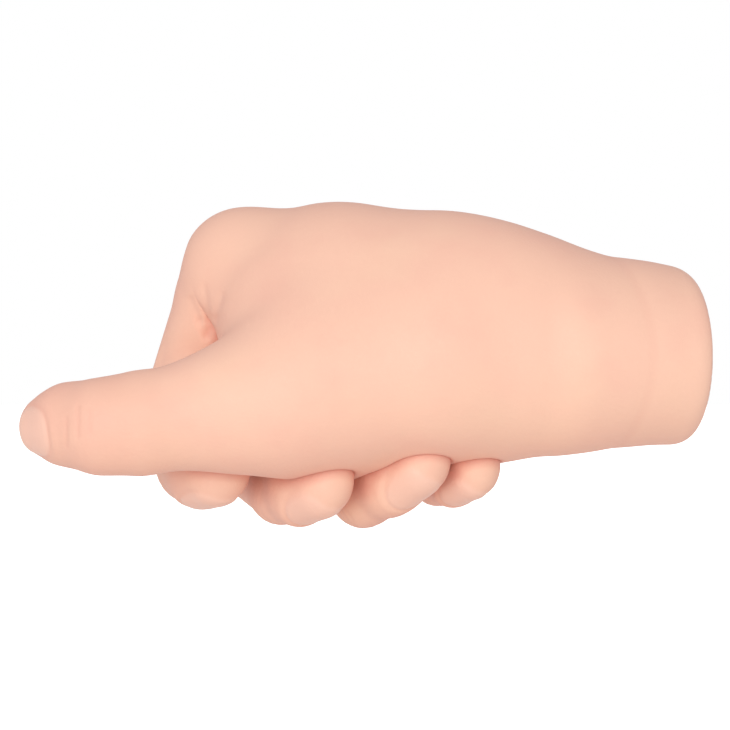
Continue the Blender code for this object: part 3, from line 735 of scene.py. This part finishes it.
def silicone():
    """Moulded silicone skin: soft mottling, painted shade in folds and at edges turned from the viewer,
    fine pores and a low sheen.
    """
    material, nodes, links = new_material("silicone_skin")
    shader = nodes["Principled BSDF"]
    place = nodes.new("ShaderNodeAttribute")
    place.attribute_name = "rest"
    # painted shade in folds and grooves, plus flush, read from the 'fold' attribute
    fold = nodes.new("ShaderNodeAttribute")
    fold.attribute_name = "fold"

    flush = node(nodes, "ShaderNodeTexNoise", Scale=45.0, Detail=3.0, Roughness=0.55)
    links.new(place.outputs["Vector"], flush.inputs["Vector"])
    sallow = node(nodes, "ShaderNodeTexNoise", Scale=28.0, Detail=2.0, Roughness=0.5)
    sallow.noise_dimensions = "4D"
    sallow.inputs["W"].default_value = 3.0
    links.new(place.outputs["Vector"], sallow.inputs["Vector"])
    # painted shade at edges turned from the viewer
    edge_shade = node(nodes, "ShaderNodeLayerWeight", Blend=0.35)
    nail_part = nodes.new("ShaderNodeAttribute")
    nail_part.attribute_name = "nail"
    colour = SKIN_BASE
    for value, low, high, most, other in (
        (flush.outputs["Fac"], 0.5, 0.8, 0.35, SKIN_FLUSH),
        (sallow.outputs["Fac"], 0.5, 0.8, 0.5, SKIN_SALLOW),
        (fold.outputs["Fac"], 0.25, 1.0, 0.5, SKIN_FOLD_SHADE),
        (edge_shade.outputs["Facing"], 0.2, 1.0, 0.55, SKIN_EDGE_SHADE),
        (nail_part.outputs["Fac"], 0.0, 1.0, 0.6, NAIL_TINT),
    ):
        share = ranged(nodes, links, value, low, high, 0, most)
        colour = tint(nodes, links, share, colour, other)
    links.new(colour, shader.inputs["Base Color"])

    pores = node(nodes, "ShaderNodeTexVoronoi", Scale=1300.0)
    links.new(place.outputs["Vector"], pores.inputs["Vector"])
    grain = node(nodes, "ShaderNodeTexNoise", Scale=700.0, Detail=4.0, Roughness=0.6)
    links.new(place.outputs["Vector"], grain.inputs["Vector"])
    height = nodes.new("ShaderNodeMath")
    height.operation = "MULTIPLY_ADD"
    links.new(grain.outputs["Fac"], height.inputs[0])
    height.inputs[1].default_value = 0.8
    links.new(pores.outputs["Distance"], height.inputs[2])
    relief = node(nodes, "ShaderNodeBump", Strength=0.16, Distance=0.0002)
    links.new(height.outputs["Value"], relief.inputs["Height"])
    links.new(relief.outputs["Normal"], shader.inputs["Normal"])
    matt = ranged(nodes, links, grain.outputs["Fac"], 0.3, 0.7, 0.48, 0.62)
    gloss = nodes.new("ShaderNodeMath")
    gloss.operation = "MULTIPLY_ADD"
    links.new(nail_part.outputs["Fac"], gloss.inputs[0])
    gloss.inputs[1].default_value = -0.2
    links.new(matt, gloss.inputs[2])
    links.new(gloss.outputs["Value"], shader.inputs["Roughness"])
    shader.inputs["Specular IOR Level"].default_value = 0.32
    return material


SILICONE = silicone()


def hard_material(name, colour, roughness, metallic, streaks):
    """Turned metal or moulded plastic: fine grain drawn out by streaks, slightly worn."""
    material, nodes, links = new_material(name)
    shader = nodes["Principled BSDF"]
    place = nodes.new("ShaderNodeTexCoord")
    drawn = node(nodes, "ShaderNodeMapping", Scale=streaks)
    links.new(place.outputs["Object"], drawn.inputs["Vector"])
    grain = node(nodes, "ShaderNodeTexNoise", Scale=900.0, Detail=4.0, Roughness=0.6)
    links.new(drawn.outputs["Vector"], grain.inputs["Vector"])
    patches = node(nodes, "ShaderNodeTexNoise", Scale=90.0, Detail=3.0, Roughness=0.5)
    links.new(place.outputs["Object"], patches.inputs["Vector"])
    worn = tuple(0.8 * c for c in colour)
    shade = ranged(nodes, links, patches.outputs["Fac"], 0.35, 0.75, 0, 0.7)
    links.new(tint(nodes, links, shade, colour, worn), shader.inputs["Base Color"])
    gloss = ranged(nodes, links, grain.outputs["Fac"], 0.3, 0.7, roughness - 0.07, roughness + 0.1)
    links.new(gloss, shader.inputs["Roughness"])
    shader.inputs["Metallic"].default_value = metallic
    relief = node(nodes, "ShaderNodeBump", Strength=0.2, Distance=0.0001)
    links.new(grain.outputs["Fac"], relief.inputs["Height"])
    links.new(relief.outputs["Normal"], shader.inputs["Normal"])
    return material


def dress_hardware():
    """Procedural materials for the CAD nodes, by the record's slot names."""
    plain = (1, 1, 1)
    turned_finish = (0.25, 1, 1)
    made = {
        "steel": hard_material("turned_steel", (0.56, 0.57, 0.58), 0.28, 1.0, turned_finish),
        "aluminium": hard_material("anodised_aluminium", (0.72, 0.73, 0.75), 0.34, 1.0, turned_finish),
        "acetal": hard_material("white_acetal", (0.82, 0.82, 0.79), 0.42, 0.0, plain),
        "frame_nylon": hard_material("frame_nylon_grey", (0.16, 0.17, 0.18), 0.55, 0.0, plain),
        "bone_nylon": hard_material("bone_nylon_ivory", (0.70, 0.66, 0.58), 0.5, 0.0, plain),
    }
    for part in frame["nodes"].values():
        for place, old in enumerate(part.data.materials):
            kind = old.name.split(".")[0] if old else ""
            if kind in made:
                part.data.materials[place] = made[kind]


dress_hardware()


# ---------------------------------------------------------------- pieces

PALM_CELL = 0.7
DIGIT_CELL = 0.5
ROOM = 4.0


def box_round(*balls):
    """The box round (centre, radius) pairs, with room to spare."""
    low = np.min([c - r for c, r in balls], 0) - ROOM
    high = np.max([c + r for c, r in balls], 0) + ROOM
    return low, high


def blended(piece):
    """Bakes piece's world placement into its mesh."""
    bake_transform(piece)


def add_palm():
    """The skin of the cuff, the palm and the thumb's base, over the thumb's swing joint."""
    balls = [(m[0], m[2]) for m in MASSES] + [(m[1], m[3]) for m in MASSES]
    balls += [(vec(RIM, 0, 0), 23.0), (THUMB.middle, 12.0)]
    piece = add_skin("palm_and_thumb_skin", palm_skin, *box_round(*balls), PALM_CELL)
    blended(piece)
    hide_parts("palm_skin", "palm_core", "thumb_base_skin")


def add_thumb_end():
    """The skin of the thumb's end, over its end joint."""
    balls = [(THUMB.knuckle * 0.4 + THUMB.middle * 0.6, 13.0), (THUMB.tip, 9.0)]
    piece = add_skin("thumb_end_skin", thumb_end, *box_round(*balls), DIGIT_CELL)
    blended(piece)
    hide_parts("thumb_tip_skin")


def add_finger(f):
    """A finger's two pieces of skin, over its knuckle and over its middle joint."""
    balls = [(f.knuckle, 20.0), (f.middle, 11.0)]
    first = add_skin(f.name + "_first_skin", first_part(f), *box_round(*balls), DIGIT_CELL)
    blended(first)
    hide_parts(f.name + "_base_skin")
    balls = [(0.5 * (f.knuckle + f.middle), 11.0), (f.middle, 11.0), (f.end, 10.0), (f.tip, 9.0)]
    last = add_skin(f.name + "_end_skin", end_part(f), *box_round(*balls), DIGIT_CELL)
    blended(last)
    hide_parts(f.name + "_tip_skin")


add_palm()
add_thumb_end()
for digit in FINGERS:
    add_finger(digit)


# ---------------------------------------------------------------- floor, light and camera

PICTURE_SIDE = 163.7
VIEW_TURN = -15.0
CAMERA_AWAY = 1600.0
CAMERA_HEIGHT = -1.9
RIM_TO_MIDDLE = 72.5
SENSOR_WIDTH = 36.0
FLOOR_DROP = 62.0
FLOOR_RADIUS = 9000.0
LAMP_BACK = 1200.0
LAMP_LEFT = 200.0
LAMP_UP = 250.0
LAMP_SIZE = 1000.0
LAMP_POWER = 7.5
AMBIENT = 0.66
FLOOR_GLOW = 0.12


def add_floor():
    """A pale floor that shows as plain white, and that can be seen through from below."""
    place = (0, 0, -FLOOR_DROP * MM)
    radius = FLOOR_RADIUS * MM
    bpy.ops.mesh.primitive_circle_add(vertices=96, radius=radius, fill_type="NGON", location=place)
    floor = bpy.context.object
    floor.name = "floor"
    material, nodes, links = new_material("pale_floor")
    shader = nodes["Principled BSDF"]
    shader.inputs["Base Color"].default_value = (0.9, 0.9, 0.9, 1)
    shader.inputs["Roughness"].default_value = 0.8
    shader.inputs["Emission Color"].default_value = (1, 1, 1, 1)
    seen = nodes.new("ShaderNodeLightPath")
    glow = ranged(nodes, links, seen.outputs["Is Camera Ray"], 0, 1, FLOOR_GLOW, 1.0)
    links.new(glow, shader.inputs["Emission Strength"])
    side = nodes.new("ShaderNodeNewGeometry")
    from_above = ranged(nodes, links, side.outputs["Backfacing"], 0, 1, 1, 0)
    links.new(from_above, shader.inputs["Alpha"])
    floor.data.materials.append(material)


def add_lamp(name, place, target):
    """A soft round lamp that points at target."""
    lamp = bpy.data.lights.new(name, "AREA")
    lamp.shape = "DISK"
    lamp.size = LAMP_SIZE * MM
    lamp.energy = LAMP_POWER
    holder = bpy.data.objects.new(name, lamp)
    bpy.context.scene.collection.objects.link(holder)
    holder.location = place
    holder.rotation_euler = (target - holder.location).to_track_quat("-Z", "Y").to_euler()
    holder.visible_camera = False


def light_world():
    """White to the camera, softer as light."""
    world = bpy.data.worlds.new("studio")
    bpy.context.scene.world = world
    world.use_nodes = True
    nodes, links = world.node_tree.nodes, world.node_tree.links
    seen = nodes.new("ShaderNodeLightPath")
    strength = nodes.new("ShaderNodeMapRange")
    links.new(seen.outputs["Is Camera Ray"], strength.inputs["Value"])
    strength.inputs["To Min"].default_value = AMBIENT
    strength.inputs["To Max"].default_value = 1.0
    links.new(strength.outputs["Result"], nodes["Background"].inputs["Strength"])
    nodes["Background"].inputs["Color"].default_value = (1, 1, 1, 1)


def add_camera():
    """The camera, level with the hand; returns what it looks at, and its right and back directions."""
    turn = math.radians(VIEW_TURN)
    right = vec(math.cos(turn), math.sin(turn), 0)
    back = vec(math.sin(turn), -math.cos(turn), 0)
    centre = vec(RIM, 0, CAMERA_HEIGHT) - RIM_TO_MIDDLE * right
    camera = bpy.data.cameras.new("camera")
    holder = bpy.data.objects.new("camera", camera)
    bpy.context.scene.collection.objects.link(holder)
    place = centre + CAMERA_AWAY * back
    holder.location = place * MM
    holder.rotation_euler = (math.radians(90), 0, turn)
    camera.sensor_width = SENSOR_WIDTH
    camera.lens = SENSOR_WIDTH * CAMERA_AWAY / PICTURE_SIDE
    camera.clip_start = 0.01
    camera.clip_end = 50.0
    bpy.context.scene.camera = holder
    return centre * MM, right, back


add_floor()
light_world()
centre, right, back = add_camera()
lamp_place = centre + (LAMP_BACK * back - LAMP_LEFT * right + vec(0, 0, LAMP_UP)) * MM
add_lamp("front", Vector(lamp_place), Vector(centre))
bpy.context.scene.view_settings.view_transform = "Standard"
